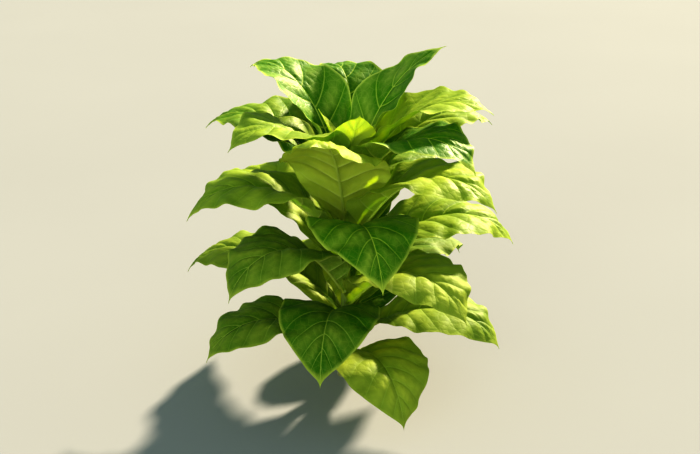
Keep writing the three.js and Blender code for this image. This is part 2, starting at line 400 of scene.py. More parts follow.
    def bump(self, kit: NodeKit, fine: Socket, line: Socket, large: Socket) -> Socket:
        """The fine relief: each large cell swells into a blister, and the net of veins presses in.

        The lower face has it the other way round.

        Args:
            kit: the material's nodes.
            fine: the fine noise, for the grain.
            line: the net of fine veins.
            large: the distance to the edge of the large cells.

        Returns:
            The bent normal.
        """
        grain = kit.times(kit.spread(fine), self.grain)
        swell = kit.maths("ADD", kit.times(kit.span(large, 0.0, 0.5), self.blister), grain)
        out_in = kit.between(kit.value("under"), 1.0, self.under_relief)
        relief = kit.maths("SUBTRACT", kit.times(swell, out_in), kit.times(line, out_in))
        inputs = {"Strength": self.bump_strength, "Distance": self.bump_depth, "Height": relief}
        return kit.add("Bump", inputs).outputs[0]

    def material(self) -> bpy.types.Material:
        """The procedural material.

        A satin skin is mixed with light from behind. A leaf of darker tone, or of painted shade, lets less
        light through than a light one, and the light through is greener where the upper face is painted
        nearer shade.

        Returns:
            The material.
        """
        kit = NodeKit(self.name)
        place = kit.add("TexCoord").outputs["Object"]
        broad = kit.noise(place, self.patch_scale, 4.0)
        line, large = self.net(kit)
        share = self.painted_lightness(kit, broad)
        bump = self.bump(kit, kit.noise(place, self.grain_scale), line, large)
        roughness = kit.maths(
            "ADD",
            kit.between(kit.value("under"), self.roughness, self.under_roughness),
            kit.spread(broad, -self.uneven_roughness, self.uneven_roughness),
        )
        skin = kit.add("BsdfPrincipled", {
            "Base Color": self.colour(kit, share, broad, line),
            "Roughness": roughness,
            "Normal": bump,
            "Specular IOR Level": self.specular,
        }).outputs[0]
        # The light through follows the painted lightness: greener where the upper face is painted shade.
        through = kit.blend(kit.span(share, self.glow_start, 1.0), self.deep_glow, self.glow)
        through = kit.blend(kit.times(kit.value("vein"), self.vein_glow), through, self.vein)
        behind = kit.add("BsdfTranslucent", {"Color": through, "Normal": bump}).outputs[0]
        # Less light through for leaves of darker tone or of painted shade.
        thinness = kit.span(kit.value("tone"), -1.0, 1.0, self.least_glow, self.most_glow)
        return kit.output(kit.add("MixShader", {0: thinness, 1: skin, 2: behind}).outputs[0])


@dataclass(frozen=True)
class StemFinish:
    """The look of the stem: pale green, finely ribbed along its length, darker and browner at its foot."""

    name: str = "stem_skin"
    young: Colour = (0.34, 0.48, 0.11)
    old: Colour = (0.30, 0.36, 0.13)
    foot: Colour = (0.20, 0.17, 0.08)
    least_roughness: float = 0.49
    most_roughness: float = 0.63
    specular: float = 0.4
    sheen: float = 0.3
    streak_stretch: float = 0.09
    streak_scale: float = 230.0
    streak_weight: float = 0.5
    patch_scale: float = 30.0
    patch_weight: float = 0.35
    grain_scale: float = 900.0
    grain_weight: float = 0.5
    old_below: float = 0.1
    young_above: float = 0.5
    foot_height: float = 0.09
    foot_weight: float = 0.85
    ragged: float = 0.03
    bump_strength: float = 0.6
    bump_depth: float = 0.0008

    def material(self) -> bpy.types.Material:
        """The procedural material: colour by height, streaks stretched along the stem, and a hairy grain.

        Returns:
            The material.
        """
        kit = NodeKit(self.name)
        place = kit.add("TexCoord").outputs["Object"]
        height = kit.add("SeparateXYZ", {0: place}).outputs["Z"]
        drawn = kit.add("Mapping", {"Vector": place, "Scale": (1.0, 1.0, self.streak_stretch)}).outputs[0]
        streak = kit.noise(drawn, self.streak_scale, 4.0)
        patch = kit.noise(place, self.patch_scale)
        grain = kit.noise(place, self.grain_scale, 2.0)
        colour = kit.blend(kit.span(height, self.old_below, self.young_above), self.old, self.young)
        edge = kit.maths("ADD", height, kit.spread(patch, -self.ragged, self.ragged))
        colour = kit.blend(kit.span(edge, 0.0, self.foot_height, self.foot_weight, 0.0), colour, self.foot)
        colour = kit.blend(kit.span(streak, 0.4, 0.75, 0.0, self.streak_weight), colour, self.young)
        colour = kit.blend(kit.span(patch, 0.5, 0.8, 0.0, self.patch_weight), colour, self.foot)
        relief = kit.maths("ADD", streak, kit.times(grain, self.grain_weight))
        inputs = {"Strength": self.bump_strength, "Distance": self.bump_depth, "Height": relief}
        bump = kit.add("Bump", inputs).outputs[0]
        skin = kit.add("BsdfPrincipled", {
            "Base Color": colour,
            "Roughness": kit.spread(patch, self.least_roughness, self.most_roughness),
            "Normal": bump,
            "Specular IOR Level": self.specular,
            "Sheen Weight": self.sheen,
        }).outputs[0]
        return kit.output(skin)


@dataclass(frozen=True)
class FloorFinish:
    """The look of the studio floor: plain, pale and matt."""

    name: str = "studio_floor"
    colour: Colour = (0.285, 0.286, 0.330)
    darkening: float = 0.975
    cloud_scale: float = 0.8
    roughness: float = 1.0
    specular: float = 0.1

    def material(self) -> bpy.types.Material:
        """The procedural material: one pale colour with a trace of broad unevenness."""
        kit = NodeKit(self.name)
        place = kit.add("TexCoord").outputs["Object"]
        cloud = kit.noise(place, self.cloud_scale, 2.0)
        darker = tuple(self.darkening * part for part in self.colour)
        colour = kit.blend(kit.spread(cloud), darker, self.colour)
        inputs = {"Base Color": colour, "Roughness": self.roughness, "Specular IOR Level": self.specular}
        return kit.output(kit.add("BsdfPrincipled", inputs).outputs[0])


BUD_FINISH = LeafFinish(
    name="bud_leaf",
    shade=(0.30, 0.46, 0.05),
    lit=(0.72, 0.78, 0.28),
    under=(0.52, 0.64, 0.16),
    pale_and_lit_under=(0.74, 0.80, 0.25),
    vein=(0.72, 0.76, 0.32),
    rib=(0.80, 0.84, 0.46),
    deep_glow=(0.60, 0.74, 0.04),
    glow=(0.76, 0.83, 0.16),
    cell_size=0.005,
    bump_depth=0.00015,
)
YOUNG_FINISH = LeafFinish(
    name="young_leaf",
    shade=(0.050, 0.180, 0.004),
    lit=(0.64, 0.71, 0.16),
    under=(0.32, 0.52, 0.07),
    pale_and_lit_under=(0.76, 0.82, 0.25),
    vein=(0.62, 0.73, 0.13),
    rib=(0.78, 0.83, 0.26),
    deep_glow=(0.22, 0.50, 0.006),
    glow=(0.74, 0.82, 0.13),
    cell_size=0.006,
)
GROWN_FINISH = LeafFinish(
    name="grown_leaf",
    shade=(0.043, 0.162, 0.004),
    lit=(0.52, 0.60, 0.095),
    under=(0.24, 0.44, 0.05),
    pale_and_lit_under=(0.74, 0.80, 0.12),
    vein=(0.56, 0.69, 0.09),
    rib=(0.77, 0.82, 0.22),
    deep_glow=(0.16, 0.44, 0.006),
    glow=(0.70, 0.79, 0.055),
)
OLD_FINISH = LeafFinish(
    name="old_leaf",
    shade=(0.041, 0.143, 0.004),
    lit=(0.44, 0.51, 0.085),
    under=(0.21, 0.37, 0.05),
    pale_and_lit_under=(0.55, 0.62, 0.08),
    vein=(0.50, 0.62, 0.12),
    rib=(0.66, 0.72, 0.19),
    deep_glow=(0.15, 0.39, 0.006),
    glow=(0.62, 0.69, 0.040),
    roughness=0.56,
    vein_strength=0.60,
)


@dataclass(frozen=True)
class Stem:
    """The stem: a round taper with a flared foot, a slight lean and sway, and a cushion under each leaf."""

    top: float = 0.652
    foot_radius: float = 0.0165
    tip_radius: float = 0.0055
    taper: float = 1.25
    flare_width: float = 0.008
    flare_height: float = 0.026
    lean: float = 0.014
    sway: float = 0.005
    rings: int = 420
    sides: int = 96
    tip_round: float = 0.004
    least_round: float = 0.02
    relief_start: float = 0.004
    rib_count: int = 11
    rib_height: float = 0.0006
    rib_wind: float = 9.0
    rib_start: float = 0.05
    cushion_height: float = 0.0028
    cushion_spread: float = 0.009
    keel_height: float = 0.0018
    keel_length: float = 0.05
    keel_start: float = 0.01
    keel_spread: float = 0.0045
    full_size_leaf: float = 0.4

    def radius(self, z: Numbers) -> Numbers:
        """The radius at a height: a power of the height takes it from foot to tip, plus the fading flare."""
        share = np.clip(z / self.top, 0.0, 1.0)
        straight = mix(self.foot_radius, self.tip_radius, share ** self.taper)
        return straight + self.flare_width * np.exp(-z / self.flare_height)

    def middle(self, z: Numbers) -> np.ndarray:
        """The middle at a height: the lean grows with its square, and the sway is one growing wave."""
        share = np.asarray(z, dtype=float) / self.top
        sideways = self.sway * np.sin(2.0 * np.pi * share) * share
        return np.stack([self.lean * share * share, sideways, np.asarray(z, dtype=float)], axis=-1)

    def relief(self, z: np.ndarray, turn: np.ndarray, leaves: list["LeafTraits"]) -> np.ndarray:
        """How far the skin stands out from the plain taper.

        Shallow ribs wind slowly up the stem. Under each leaf there is a cushion, a bell curve in height and
        round the stem, and a keel that fades as it runs down below the cushion.

        Args:
            z: heights on the grid.
            turn: directions round the stem on the grid, in radians.
            leaves: the leaves that the stem carries.

        Returns:
            The relief on the grid, in metres.
        """
        ribs = np.sin(self.rib_count * turn + self.rib_wind * z / self.top)
        out = self.rib_height * ribs * ease(z / self.rib_start)
        for leaf in leaves:
            away = np.angle(np.exp(1j * (turn - math.radians(leaf.azimuth)))) * self.radius(leaf.height)
            below = leaf.height - z
            near = np.exp(-(below / self.cushion_spread) ** 2 - (away / self.cushion_spread) ** 2)
            keel = ease(below / self.keel_start) * np.exp(-np.maximum(below, 0.0) / self.keel_length)
            keel = keel * np.exp(-(away / self.keel_spread) ** 2)
            size = min(1.0, leaf.length / self.full_size_leaf)
            out = out + size * (self.cushion_height * near + self.keel_height * keel)
        return out

    def build(self, leaves: list["LeafTraits"], finish: StemFinish) -> bpy.types.Object:
        """The stem as one closed tube: rings of points up the middle line, with a rounded tip.

        Args:
            leaves: the leaves that the stem carries.
            finish: its look.

        Returns:
            The piece.
        """
        share = np.linspace(0.0, 1.0, self.rings)
        height = self.top * share
        into_tip = np.maximum(height - self.top + self.tip_round, 0.0) / self.tip_round
        round_off = np.sqrt(np.maximum(1.0 - into_tip ** 2, self.least_round))
        turn = np.linspace(0.0, 2.0 * np.pi, self.sides, endpoint=False)
        z, around = np.meshgrid(height, turn, indexing="ij")
        relief = self.relief(z, around, leaves) * ease(z / self.relief_start)
        radius = (self.radius(z) + relief) * round_off[:, None]
        points = self.middle(height)[:, None, :] + np.stack(
            [radius * np.cos(around), radius * np.sin(around), np.zeros_like(z)], axis=-1
        )
        a = np.arange((self.rings - 1) * self.sides).reshape(self.rings - 1, self.sides)
        b = np.roll(a, -1, axis=1)
        ring = list(range(self.sides))
        skin = Skin(
            points=points.reshape(-1, 3),
            faces=np.stack([a, b, b + self.sides, a + self.sides], axis=-1).reshape(-1, 4),
            uv=np.stack([around * self.foot_radius, z], axis=-1).reshape(-1, 2),
            caps=(ring[::-1], [(self.rings - 1) * self.sides + corner for corner in ring]),
        )
        return skin.piece("stalk", finish.material())


@dataclass(frozen=True)
class LeafTraits:
    """Every size and angle of one leaf, and its tone, from -1 for a dark leaf to 1 for a light one: a random
    tone for most leaves, but painted shade or painted light for some.

    Lengths are metres and angles degrees, but fold and curl are radians.
    """

    rank: int
    azimuth: float
    height: float
    length: float
    half_width: float
    wing: float
    rise: float
    tip: float
    bend: float
    sway: float
    roll: float
    fold: float
    curl: float
    wave: float
    wave_phase: float
    start: float
    # Tone: random for most leaves, but painted shade or painted light for some leaves in Growth's standouts.
    tone: float


@dataclass(frozen=True)
class Standout:
    """How a leaf stands apart from the rule, where it does."""

    turn: float | None = None
    rise: float | None = None
    tip: float | None = None
    bend: float | None = None
    sway: float | None = None
    stretch: float | None = None
    curl: float | None = None
    tone: float | None = None


@dataclass(frozen=True)
class Growth:
    """The rule that places and sizes the leaves, from the youngest, rank 0, down to the oldest."""

    stem: Stem
    leaf_count: int = 30
    top_leaf_height: float = 0.640
    youngest_azimuth: float = -40.0
    spiral_turn: float = -137.5
    shortest_gap: float = 0.009
    gap_growth: float = 0.0014
    longest_gap: float = 0.0225
    longest_leaf: float = 0.610
    growth_start: float = 1.6
    growth_ranks: float = 4.2
    growth_power: float = 1.5
    old_leaf_loss: float = 0.14
    old_from_rank: int = 16
    young_width_share: float = 0.34
    full_width_share: float = 0.515
    full_width_rank: int = 5
    most_wing: float = 0.09
    clasp: float = 1.1
    foot_sink: float = 0.001
    young_rise: float = 80.0
    full_rise: float = 66.0
    opening_ranks: float = 1.8
    old_rise: float = 38.0
    sinking_from_rank: int = 8
    young_tip_angle: float = 80.0
    old_tip_angle: float = -72.0
    droop_ranks: float = 4.6
    droop_power: float = 1.3
    bend_power: float = 2.1
    fold: float = 0.5
    curl: float = 0.75
    unfold_from_rank: int = 5
    unfold_ranks: int = 9
    wave_share: float = 0.018
    length_spread: float = 0.03
    width_spread: float = 0.05
    turn_spread: float = 5.0
    rise_spread: float = 3.0
    tip_spread: float = 12.0
    sway_spread: float = 9.0
    roll_spread: float = 5.0
    wave_spread: float = 0.3
    # The given tones paint shade on ranks 2, 4, 7 and 9, and paint light on rank 11.
    standouts: dict[int, Standout] = field(default_factory=lambda: {
        0: Standout(tone=1),
        1: Standout(tone=1),
        2: Standout(turn=-8, rise=70, tip=20, bend=1.7, sway=-32, stretch=1.5, tone=-0.8),
        3: Standout(turn=8, rise=66, tip=44, sway=12, stretch=0.78, tone=1),
        4: Standout(turn=16, rise=68, tip=-40, bend=3, sway=-2, stretch=1.14, tone=-1),
        5: Standout(turn=0, rise=66.5, tip=-36, sway=-8, stretch=1.07),
        6: Standout(turn=3, tip=-46),
        7: Standout(turn=6, rise=62, tip=-45, bend=3.2, sway=40, stretch=1, tone=-1),
        8: Standout(turn=20, tip=-60),
        9: Standout(tone=-0.5),
        10: Standout(turn=0, tip=-50, stretch=1.05),
        11: Standout(turn=12, rise=66, tip=-4, bend=2.4, stretch=1, curl=1.8, tone=1),
    })

    def height(self, rank: int) -> float:
        """The height at which a leaf leaves the stem: each gap is a little longer than the one above it."""
        gaps = np.minimum(self.shortest_gap + self.gap_growth * np.arange(rank), self.longest_gap)
        return self.top_leaf_height - float(gaps.sum())

    def traits(self, rank: int) -> LeafTraits:
        """Every size and angle of the leaf of a rank.

        The length grows with rank by a curve that levels off, and the oldest leaves lose some of it. The
        angles fall with rank from upright to spreading. Leaves that stand apart take their own values.

        Args:
            rank: the leaf's place in the spiral, from the youngest.

        Returns:
            The leaf's traits.
        """
        own = self.standouts.get(rank, Standout())

        def either(value: float | None, rule: float) -> float:
            """The leaf's own value if it has one, or the rule's."""
            return rule if value is None else float(value)

        growth = 1.0 - math.exp(-(((rank + self.growth_start) / self.growth_ranks) ** self.growth_power))
        loss = self.old_leaf_loss * ease((rank - self.old_from_rank) / (self.leaf_count - self.old_from_rank))
        stretch = either(own.stretch, 1.0 + self.length_spread * variation(rank, Trait.LENGTH))
        length = self.longest_leaf * growth * (1.0 - loss) * stretch
        width = mix(self.young_width_share, self.full_width_share, ease(rank / self.full_width_rank))
        unfolded = float(ease((rank - self.unfold_from_rank) / self.unfold_ranks))
        closed = math.exp(-rank / self.opening_ranks)
        sunk = ease((rank - self.sinking_from_rank) / (self.leaf_count - self.sinking_from_rank))
        rise = mix(self.full_rise, self.young_rise, closed) - (self.full_rise - self.old_rise) * sunk
        upheld = math.exp(-((rank / self.droop_ranks) ** self.droop_power))
        droop = mix(self.old_tip_angle, self.young_tip_angle, upheld)
        turn = either(own.turn, self.turn_spread * unfolded * variation(rank, Trait.TURN))
        height = self.height(rank)
        half_width = length * width * (1.0 + self.width_spread * variation(rank, Trait.WIDTH)) / 2.0
        return LeafTraits(
            rank=rank,
            azimuth=self.youngest_azimuth + self.spiral_turn * rank + turn,
            height=height,
            length=float(length),
            half_width=float(half_width),
            wing=float(min(self.most_wing, self.clasp * self.stem.radius(height) / half_width)),
            rise=either(own.rise, rise + self.rise_spread * unfolded * variation(rank, Trait.RISE)),
            tip=either(own.tip, droop + self.tip_spread * unfolded * variation(rank, Trait.TIP)),
            bend=either(own.bend, self.bend_power),
            sway=either(own.sway, self.sway_spread * unfolded * variation(rank, Trait.SWAY)),
            roll=self.roll_spread * variation(rank, Trait.ROLL) * rank / (self.leaf_count - 1),
            fold=self.fold * unfolded,
            curl=either(own.curl, self.curl) * unfolded,
            wave=float(length * self.wave_share * (1.0 + self.wave_spread * variation(rank, Trait.WAVE))),
            wave_phase=variation(rank, Trait.WAVE_PHASE),
            start=-self.foot_sink,
            tone=either(own.tone, variation(rank, Trait.TONE)),
        )


@dataclass(frozen=True)
class BladeForm:
    """What all leaf blades share: outline, cross-section, veins, edge and the fineness of the mesh."""

    foot_power: float = 1.5
    tip_power: float = 1.25
    wing_power: float = 4.0
    tip_half_width: float = 0.0004
    tip_pinch: float = 0.62
    tip_pinch_length: float = 0.05
    fold_loss: float = 0.55
    wrap: float = 0.95
    most_wrap: float = 1.0
    waves: float = 2.7
    wave_power: float = 2.2
    wave_lag: float = 0.37
    vein_sweep: float = 0.72
    vein_curve: float = 1.35
    rib_steps: int = 240
    thickness: float = 0.0009
    rib_depth_share: float = 0.0125
    rib_half_width_share: float = 0.0078
    rib_taper: float = 0.88
    rib_groove: float = 0.22
    rib_mask: float = 1.5
    most_rib_share: float = 0.6
    join_share: float = 0.02
    gap_at_ends: float = 0.62
    gap_gain: float = 0.6
    gap_spread: float = 0.16
    vein_seed: int = 100
    vein_depth_share: float = 0.0042
    vein_half_width_share: float = 0.0042
    vein_groove: float = 0.45
    vein_at_edge: float = 0.35
    vein_at_tip: float = 0.6
    foot_fade: float = 0.1
    tip_fade: float = 0.12
    pucker_seed: int = 500
    pucker_share: float = 0.0085
    pucker_power: float = 1.2
    least_pucker: float = 0.65
    most_pucker: float = 1.35
    pucker_edge_loss: float = 0.55
    pucker_clear_of_rib: float = 0.12
    dimple: float = 0.2
    dimples: float = 3.2
    more_dimples: float = 1.5
    ripple_share: float = 0.0080
    ripple_length: float = 0.088
    ripple_power: float = 2.8
    quick_ripple: float = 0.6
    quick_rate: float = 1.65
    edge_thickness: float = 0.6
    # Width of the edge band that the finish paints lit.
    painted_rim_width: float = 0.004
    least_across: float = 0.1
    steps_between_veins: int = 11
    row_power: float = 1.7
    row_power_gain: float = 0.35
    rib_columns: int = 4
    blade_columns: int = 17

    def half_width(self, leaf: LeafTraits, s: np.ndarray) -> np.ndarray:
        """Half the blade's width at a share of its length.

        A power of the share, times a power of what is left of the length, makes the body, which is widest
        near the middle. The wing at the foot fades fast, and a bell curve pinches the last of the blade to a
        tail.

        Args:
            leaf: the leaf.
            s: shares of the length.

        Returns:
            Half the width at each share, in metres.
        """
        widest = self.foot_power / (self.foot_power + self.tip_power)
        body = (s / widest) ** self.foot_power * ((1.0 - s) / (1.0 - widest)) ** self.tip_power
        wing = leaf.wing * (1.0 - s) ** self.wing_power
        pinch = 1.0 - self.tip_pinch * np.exp(-(((1.0 - s) / self.tip_pinch_length) ** 2))
        return np.maximum(leaf.half_width * (wing + (1.0 - wing) * body) * pinch, self.tip_half_width)


@dataclass(frozen=True)
class Grid:
    """The grid that a blade's mesh follows, as arrays of rows by columns.

    q counts along the side veins and t across the blade, from -1 at one edge, over the midrib, to 1 at the
    other. offset is the distance to the nearest side vein as a share of the gap between two veins, gap is
    that gap along the midrib in metres, and number is the vein's own, which its random values follow.
    """

    q: np.ndarray
    t: np.ndarray
    offset: np.ndarray
    gap: np.ndarray
    number: np.ndarray


@dataclass(frozen=True)
class Blade:
    """One leaf: a thin closed blade with its midrib, side veins, puckers and rippled edge."""

    leaf: LeafTraits
    stem: Stem
    form: BladeForm
    vein_pairs: int

    def midrib(self) -> dict[str, np.ndarray]:
        """The midrib as stations along its length.

        Its angle from level goes from rise to tip by a power of the share of its length, and its heading
        drifts by the sway times the square of that share. The places are the running sum of the steps.

        Returns:
            The stations' places, the directions to the side and up, and how strongly the blade cups the stem.
        """
        leaf, form = self.leaf, self.form
        s = np.linspace(0.0, 1.0, form.rib_steps + 1)
        slope = np.radians(leaf.rise + (leaf.tip - leaf.rise) * s ** leaf.bend)
        heading = math.radians(leaf.azimuth)
        turn = heading + math.radians(leaf.sway) * s * s
        level = np.stack([np.cos(turn), np.sin(turn), np.zeros_like(s)], axis=1)
        along = level * np.cos(slope)[:, None] + np.array([0.0, 0.0, 1.0]) * np.sin(slope)[:, None]
        side = np.stack([-np.sin(turn), np.cos(turn), np.zeros_like(s)], axis=1)
        roll = np.radians(leaf.roll) * s[:, None]
        side = side * np.cos(roll) + np.cross(along, side) * np.sin(roll)
        foot = self.stem.middle(leaf.height)
        out = self.stem.radius(leaf.height) + leaf.start
        start = foot + out * level[0]
        steps = (along[:-1] + along[1:]) * leaf.length / (2.0 * form.rib_steps)
        place = start + np.concatenate([np.zeros((1, 3)), np.cumsum(steps, axis=0)])
        away = np.hypot(place[:, 0] - foot[0], place[:, 1] - foot[1])
        wrap = form.wrap * np.maximum(0.0, np.sin(slope)) / away
        return {"s": s, "place": place, "side": side, "up": np.cross(along, side), "wrap": wrap[:, None]}

    def grid(self) -> Grid:
        """The rows and columns of the mesh.

        Rows crowd towards each side vein: the offset from a vein is a power of the step number, steeper near
        the edge so that veins thin out. The gaps between veins vary and shrink to both ends, and differ on
        the two halves of the blade. Columns follow the round midrib first and then spread evenly to the edge.

        Returns:
            The grid.
        """
        form, rank = self.form, self.leaf.rank
        draw = np.random.default_rng(form.vein_seed + rank)
        count, steps = self.vein_pairs, form.steps_between_veins
        middle = (np.arange(count) + 0.5) / count
        base = form.gap_at_ends + form.gap_gain * np.sin(np.pi * middle)
        widths = base * (1.0 + form.gap_spread * draw.uniform(-1.0, 1.0, (2, count)))
        widths /= widths.sum(axis=1, keepdims=True)
        low = np.cumsum(widths, axis=1) - widths
        step = np.linspace(-1.0, 1.0, steps + 1)[:-1]
        number = np.repeat(np.arange(count), steps)
        within = np.tile(step, count)
        number = np.append(number, count - 1)
        within = np.append(within, 1.0)

        rib = np.sin(np.linspace(0.0, 0.5 * np.pi, form.rib_columns + 1))
        spread = np.linspace(0.0, 1.0, form.blade_columns + 1)[1:]
        rows = (low.mean(axis=0) + widths.mean(axis=0) / 2.0)[number]
        q0 = np.clip(rows + within * widths.mean(axis=0)[number] / 2.0, 0.0, 1.0)
        edge = q0 + form.vein_sweep * q0 * (1.0 - q0)
        rib_share = self.rib_half_width(q0) / form.half_width(self.leaf, edge)
        rib_share = np.clip(rib_share, 0.0, form.most_rib_share)[:, None]
        half = np.concatenate([rib * rib_share, rib_share + (1.0 - rib_share) * spread], axis=1)
        t = np.concatenate([-half[:, :0:-1], half], axis=1)
        across = np.abs(t)
        power = form.row_power + form.row_power_gain * across
        offset = np.sign(within)[:, None] * np.abs(within)[:, None] ** power / 2.0
        sides = [low[k][number][:, None] + (0.5 + offset) * widths[k][number][:, None] for k in (0, 1)]
        own = np.where(t < 0.0, sides[0], sides[1])
        mean = 0.5 * (sides[0] + sides[1])
        q = mix(mean, own, ease(across / np.maximum(rib_share, form.join_share)))
        gap = np.where(t < 0.0, widths[0][number][:, None], widths[1][number][:, None]) * self.leaf.length
        own_number = number[:, None] * 2 + (t > 0.0)
        return Grid(q=np.clip(q, 0.0, 1.0), t=t, offset=offset, gap=gap, number=own_number)

    def rib_half_width(self, q: np.ndarray) -> np.ndarray:
        """Half the midrib's width: it tapers evenly from foot to tip."""
        return self.form.rib_half_width_share * self.leaf.length * (1.0 - self.form.rib_taper * q)

    def middle(self, q: np.ndarray, t: np.ndarray) -> tuple[np.ndarray, np.ndarray, np.ndarray]:
        """The blade's middle surface.

        A half blade leaves the midrib at the fold angle and curls back down to its edge: its cross-section is
        an arc, whose chord is the half width times the sine of half the arc's angle over that half. Where the
        leaf stands steeply, the arc also cups round the stem. The edge waves by a sine along the length.

        Args:
            q: the share of the length at which the side vein through the point leaves the midrib.
            t: the place across the blade, from -1 to 1.

        Returns:
            The points, their shares of the length, and their distances from the midrib.
        """
        leaf, form = self.leaf, self.form
        across = np.abs(t)
        edge = q + form.vein_sweep * q * (1.0 - q)
        s = np.clip(q + (edge - q) * across ** form.vein_curve, 0.0, 1.0)
        rib = self.midrib()

        def at(key: str) -> np.ndarray:
            """A value of the midrib's stations, carried to the points' shares of the length."""
            return np.stack([np.interp(s, rib["s"], column) for column in rib[key].T], axis=-1)

        half_width = form.half_width(leaf, edge)
        fold = leaf.fold * (1.0 - form.fold_loss * s)
        wrap = np.minimum(at("wrap")[..., 0] * half_width, form.most_wrap)
        half = (leaf.curl - wrap) * across / 2.0
        chord = half_width * across * np.sinc(half / np.pi)
        reach = chord * np.cos(fold - half)
        lift = chord * np.sin(fold - half)
        lag = np.where(t > 0.0, 0.0, form.wave_lag)
        phase = 2.0 * np.pi * (form.waves * s + 0.5 * leaf.wave_phase + lag)
        lift = lift + leaf.wave * across ** form.wave_power * np.sin(np.pi * s) * np.sin(phase)
        points = at("place") + at("side") * (np.sign(t) * reach)[..., None] + at("up") * lift[..., None]
        return points, s, half_width * across

    def heights(self, grid: Grid, s: np.ndarray, out: np.ndarray) -> dict[str, np.ndarray]:
        """The blade's relief and the values that its finish reads.

        The midrib is half an ellipse below and a shallow groove above. A side vein is a parabola whose width
        and depth shrink towards the edge. Between veins the blade puckers up by a power of a sine, in cells
        that differ, and its edge ripples by two sines whose waves don't match.

        Args:
            grid: the mesh's grid.
            s: shares of the length.
            out: distances from the midrib, in metres.

        Returns:
            Offsets of both faces along the normal, in metres, and the masks of veins, of puckers (which the
            finish paints lighter on top) and of the edge band that the finish paints lit.
        """
        leaf, form = self.leaf, self.form
        draw = np.random.default_rng(form.pucker_seed + leaf.rank)
        across = np.abs(grid.t)
        rib_half = self.rib_half_width(grid.q)
        rib = np.sqrt(np.clip(1.0 - (out / rib_half) ** 2, 0.0, 1.0))
        rib_depth = form.rib_depth_share * leaf.length * (1.0 - form.rib_taper * grid.q)
        away = np.abs(grid.offset) * grid.gap
        thin = mix(1.0, form.vein_at_edge, across) * mix(1.0, form.vein_at_tip, grid.q)
        vein_half = form.vein_half_width_share * leaf.length * thin
        vein = np.clip(1.0 - (away / vein_half) ** 2, 0.0, 1.0)
        vein_depth = form.vein_depth_share * leaf.length * thin * np.sqrt(np.clip(1.0 - across, 0.0, 1.0))
        ends = ease(s / form.foot_fade) * ease((1.0 - s) / form.tip_fade)

        cells = draw.uniform(form.least_pucker, form.most_pucker, 2 * self.vein_pairs)[grid.number]
        phase = draw.uniform(0.0, 2.0 * np.pi, 2 * self.vein_pairs)[grid.number]
        dimples = form.dimples + form.more_dimples * cells
        uneven = 1.0 - form.dimple + form.dimple * np.sin(2.0 * np.pi * dimples * across + phase)
        pillow = np.sin(np.pi * np.abs(grid.offset)) ** form.pucker_power * cells * uneven
        clear = form.pucker_clear_of_rib * leaf.half_width
        inward = ease((out - rib_half) / clear) * (1.0 - form.pucker_edge_loss * across ** 2)
        pucker = pillow * inward * ends

        first, second = draw.uniform(0.0, 2.0 * np.pi, (2, 2))
        side = (grid.t > 0.0).astype(int)
        rate = 2.0 * np.pi * leaf.length / form.ripple_length
        slow = np.sin(rate * s + first[side])
        quick = np.sin(form.quick_rate * rate * s + second[side])
        ripple = (slow + form.quick_ripple * quick) * across ** form.ripple_power * ends
        pucker_height = form.pucker_share * leaf.length * pucker
        lift = pucker_height + form.ripple_share * leaf.length * ripple
        half_thick = 0.5 * form.thickness * mix(1.0, form.edge_thickness, across)
        groove = form.rib_groove * rib_depth * rib ** 2 + form.vein_groove * vein_depth * vein
        inset = (1.0 - across) * out / np.maximum(across, form.least_across)
        side_vein = vein * mix(1.0, form.vein_at_edge, across ** 2) * ends
        return {
            "upper": lift + half_thick - groove,
            "lower": lift - half_thick - rib_depth * rib - vein_depth * vein * (1.0 - rib),
            "vein": np.maximum(side_vein, ease(form.rib_mask * rib)),
            "pucker": pucker,
            # The edge band for the painted rim light.
            "rim": np.clip(1.0 - inset / form.painted_rim_width, 0.0, 1.0),
        }

    def skin(self) -> Skin:
        """The blade as one closed skin.

        Both faces stand off the middle surface along its normals, which are the cross products of its two
        grid directions. The map gives each point its length along the blade and its distance from the midrib.

        Returns:
            The skin.
        """
        grid = self.grid()
        points, s, out = self.middle(grid.q, grid.t)
        along = np.gradient(points, axis=0)
        across = np.gradient(points, axis=1)
        normal = np.cross(along, across)
        size = np.linalg.norm(normal, axis=-1, keepdims=True)
        normal = normal / np.maximum(size, 1e-12)
        relief = self.heights(grid, s, out)
        faces = [points + normal * relief[face][..., None] for face in ("upper", "lower")]
        shape = grid.q.shape
        values = {"under": np.stack([np.zeros(shape), np.ones(shape)])}
        values.update({key: np.stack([relief[key]] * 2) for key in ("vein", "pucker", "rim")})
        # The tone, which on some leaves is painted shade or painted light.
        values["tone"] = np.full((2, *shape), self.leaf.tone)
        flat = np.stack([s * self.leaf.length, np.sign(grid.t) * out], axis=-1)
        return Skin(
            points=np.stack(faces).reshape(-1, 3),
            faces=slab_faces(*shape),
            values={key: numbers.ravel() for key, numbers in values.items()},
            uv=np.stack([flat, flat]).reshape(-1, 2),
        )


